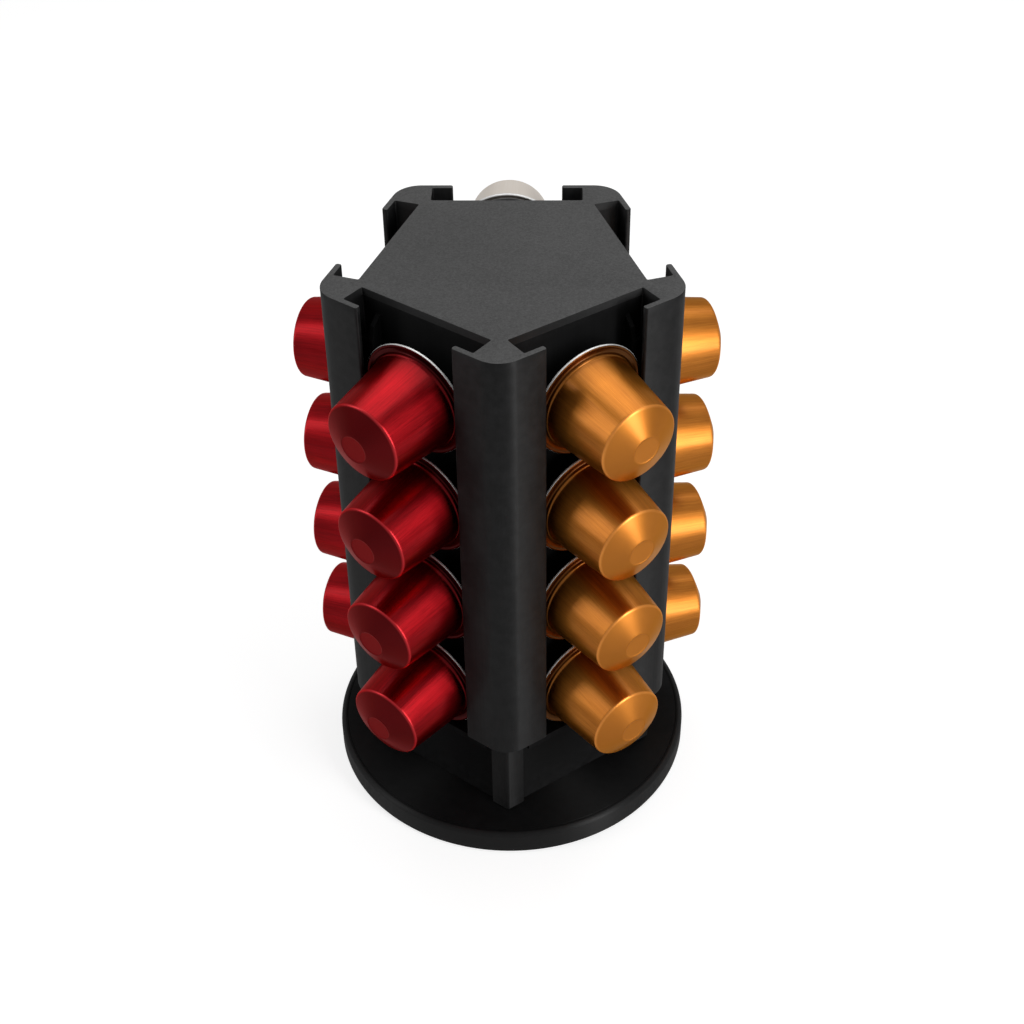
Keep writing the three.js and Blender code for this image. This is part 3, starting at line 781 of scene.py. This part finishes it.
def capsules():
    def pick_cup(face):
        """Only the outside of the rolled rim is undyed."""
        middle = face.calc_center_median()
        out = math.hypot(middle.x, middle.y)
        return 1 if out > BARE_RADIUS and middle.z < BARE_HEIGHT else 0

    cup = finished(cup_mesh(), "cup_template", ["capsule_red", "rim"], sharp=38.0, pick=pick_cup)
    lid = finished(lid_mesh(), "lid_template", ["foil"])
    for face, face_name in enumerate(FACES):
        finish = FACE_FINISH[face_name]
        for row in range(1, ROWS + 1):
            body = f"capsule_{face_name}_{row}"
            height = FIRST_ROW + FLOOR_STEPS[face] + (ROWS - row) * ROW_PITCH
            place = (
                Matrix.Rotation(face_angle(face), 4, "Z")
                @ Matrix.Translation((RIM_BACK_APOTHEM * MM, 0.0, height * MM))
                @ Matrix.Rotation(math.pi / 2 + DROOP, 4, "Y")
                @ Matrix.Rotation(scatter.uniform(0.0, math.tau), 4, "Z")
            )
            for part, template in (("cup", cup), ("lid", lid)):
                mesh = template.data.copy()
                keep_own_place(mesh)
                mesh.transform(place)
                if part == "cup":
                    mesh.materials[0] = FINISH[finish]
                piece = bpy.data.objects.new(f"{part}_{face_name}_{row}", mesh)
                bpy.context.scene.collection.objects.link(piece)
                replaced(piece, f"capsule_{part}_{face_name}_{row}", body)
    bpy.data.objects.remove(cup)
    bpy.data.objects.remove(lid)


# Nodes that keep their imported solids

CORE_EDGE = 0.22


def carried_nodes():
    kept = {
        "tower_core": "core",
        "tower_floor": "core",
        "floor_screw_1": "steel",
        "floor_screw_2": "steel",
        "floor_screw_3": "steel",
        "bearing_lower_race": "steel",
        "bearing_upper_race": "steel",
        "bearing_ball_cage": "nylon",
        "pivot_bolt": "steel",
        "pivot_washer": "nylon",
        "lock_nut": "steel",
    }
    for name, finish in kept.items():
        node = frame["nodes"][name]
        node.data.materials.clear()
        node.data.materials.append(FINISH[finish])
    # The core's packed triangles are joined into flat faces before its edges are softened
    core = frame["nodes"]["tower_core"]
    weld = core.modifiers.new("weld", "WELD")
    weld.merge_threshold = 0.01 * MM
    flats = core.modifiers.new("flats", "DECIMATE")
    flats.decimate_type = "DISSOLVE"
    flats.angle_limit = math.radians(0.5)
    soft = core.modifiers.new("soft_edges", "BEVEL")
    soft.width = CORE_EDGE * MM
    soft.segments = 2
    soft.limit_method = "ANGLE"
    soft.angle_limit = math.radians(28)
    soft.harden_normals = True


# Room. The camera sees a floor that glows to white and keeps the shadow. The object is lit by a
# plain grey floor and world, and its shiny faces see a share of the white.

FLOOR_GREY = 0.72
FLOOR_SHADOW_GREY = 0.46
FLOOR_GLOW = 0.75
FLOOR_GLOSSY_SHARE = 0.12
WORLD_GREY = 0.26
WORLD_GLOSSY_SHARE = 0.28

# Name, place, width, height (metres) and power (watts) of each softbox
LAMPS = [
    ("top_light", (0.05, 0.34, 1.05), 1.0, 0.8, 3.9),
    ("left_light", (-0.90, -0.22, 0.66), 0.26, 0.9, 1.5),
    ("right_light", (0.74, -0.60, 0.48), 0.26, 0.9, 5.6),
]
LAMP_TARGET = (0.0, 0.0, 0.10)

CAMERA_AZIMUTH = math.radians(1.9)
CAMERA_ELEVATION = math.radians(38.81)
CAMERA_ROLL = math.radians(-0.94)
CAMERA_DISTANCE = 0.620
CAMERA_RISE = 0.07723
SENSOR_WIDTH = 36.0
PICTURE_WIDTH = 1024
FOCAL_PIXELS = 1682.3


def floor():
    bm = bmesh.new()
    bmesh.ops.create_grid(bm, x_segments=1, y_segments=1, size=6.0)
    mesh = bpy.data.meshes.new("floor")
    bm.to_mesh(mesh)
    bm.free()
    f = Finish("pale_floor")
    lit = f.node("ShaderNodeBsdfDiffuse", None, {"Color": (FLOOR_GREY,) * 3})
    faint = f.node("ShaderNodeBsdfDiffuse", None, {"Color": (FLOOR_SHADOW_GREY,) * 3})
    glow = f.node("ShaderNodeEmission", None, {"Color": (1.0, 1.0, 1.0), "Strength": FLOOR_GLOW})
    shown = f.node("ShaderNodeAddShader", None, {0: faint, 1: glow})
    seen = (
        f.node("ShaderNodeLightPath", out="Is Camera Ray")
        + f.node("ShaderNodeLightPath", out="Is Transmission Ray")
        + f.node("ShaderNodeLightPath", out="Is Glossy Ray") * FLOOR_GLOSSY_SHARE
    )
    both = f.node("ShaderNodeMixShader", None, {0: seen, 1: lit, 2: shown})
    f.feed(f.tree.nodes["Material Output"].inputs["Surface"], both)
    mesh.materials.append(f.material)
    ground = bpy.data.objects.new("floor", mesh)
    bpy.context.scene.collection.objects.link(ground)


def world():
    made = bpy.data.worlds.new("studio")
    made.use_nodes = True
    bpy.context.scene.world = made
    tree = made.node_tree
    tree.nodes.clear()
    out = tree.nodes.new("ShaderNodeOutputWorld")
    shown = tree.nodes.new("ShaderNodeBackground")
    shown.inputs["Color"].default_value = (1.0, 1.0, 1.0, 1.0)
    lit = tree.nodes.new("ShaderNodeBackground")
    lit.inputs["Color"].default_value = (WORLD_GREY, WORLD_GREY, WORLD_GREY, 1.0)
    path = tree.nodes.new("ShaderNodeLightPath")
    either = tree.nodes.new("ShaderNodeMath")
    either.operation = "MAXIMUM"
    tree.links.new(path.outputs["Is Camera Ray"], either.inputs[0])
    tree.links.new(path.outputs["Is Transmission Ray"], either.inputs[1])
    glossy = tree.nodes.new("ShaderNodeMath")
    glossy.operation = "MULTIPLY_ADD"
    tree.links.new(path.outputs["Is Glossy Ray"], glossy.inputs[0])
    glossy.inputs[1].default_value = WORLD_GLOSSY_SHARE
    tree.links.new(either.outputs[0], glossy.inputs[2])
    mixed = tree.nodes.new("ShaderNodeMixShader")
    tree.links.new(glossy.outputs[0], mixed.inputs[0])
    tree.links.new(lit.outputs[0], mixed.inputs[1])
    tree.links.new(shown.outputs[0], mixed.inputs[2])
    tree.links.new(mixed.outputs[0], out.inputs["Surface"])


def softbox(name, place, width, height, power):
    lamp = bpy.data.lights.new(name, "AREA")
    lamp.shape = "RECTANGLE"
    lamp.size = width
    lamp.size_y = height
    lamp.energy = power
    made = bpy.data.objects.new(name, lamp)
    bpy.context.scene.collection.objects.link(made)
    made.location = place
    made.rotation_mode = "QUATERNION"
    made.rotation_quaternion = (Vector(LAMP_TARGET) - Vector(place)).to_track_quat("-Z", "Y")


def camera():
    back = Vector((
        math.sin(CAMERA_AZIMUTH) * math.cos(CAMERA_ELEVATION),
        -math.cos(CAMERA_AZIMUTH) * math.cos(CAMERA_ELEVATION),
        math.sin(CAMERA_ELEVATION),
    ))
    level = Vector((math.cos(CAMERA_AZIMUTH), math.sin(CAMERA_AZIMUTH), 0.0))
    upward = back.cross(level)
    right = level * math.cos(CAMERA_ROLL) + upward * math.sin(CAMERA_ROLL)
    up = upward * math.cos(CAMERA_ROLL) - level * math.sin(CAMERA_ROLL)
    lens = bpy.data.cameras.new("camera")
    lens.sensor_width = SENSOR_WIDTH
    lens.lens = FOCAL_PIXELS / PICTURE_WIDTH * SENSOR_WIDTH
    lens.clip_start = 0.01
    lens.clip_end = 30.0
    made = bpy.data.objects.new("camera", lens)
    bpy.context.scene.collection.objects.link(made)
    spot = up * CAMERA_RISE + back * CAMERA_DISTANCE
    made.matrix_world = Matrix((
        (right.x, up.x, back.x, spot.x),
        (right.y, up.y, back.y, spot.y),
        (right.z, up.z, back.z, spot.z),
        (0.0, 0.0, 0.0, 1.0),
    ))
    bpy.context.scene.camera = made


camera()
world()
for lamp_row in LAMPS:
    softbox(*lamp_row)
floor()
rails()
top_cap()
base_disc()
pads()
capsules()
carried_nodes()

bpy.context.scene.view_settings.view_transform = "Standard"
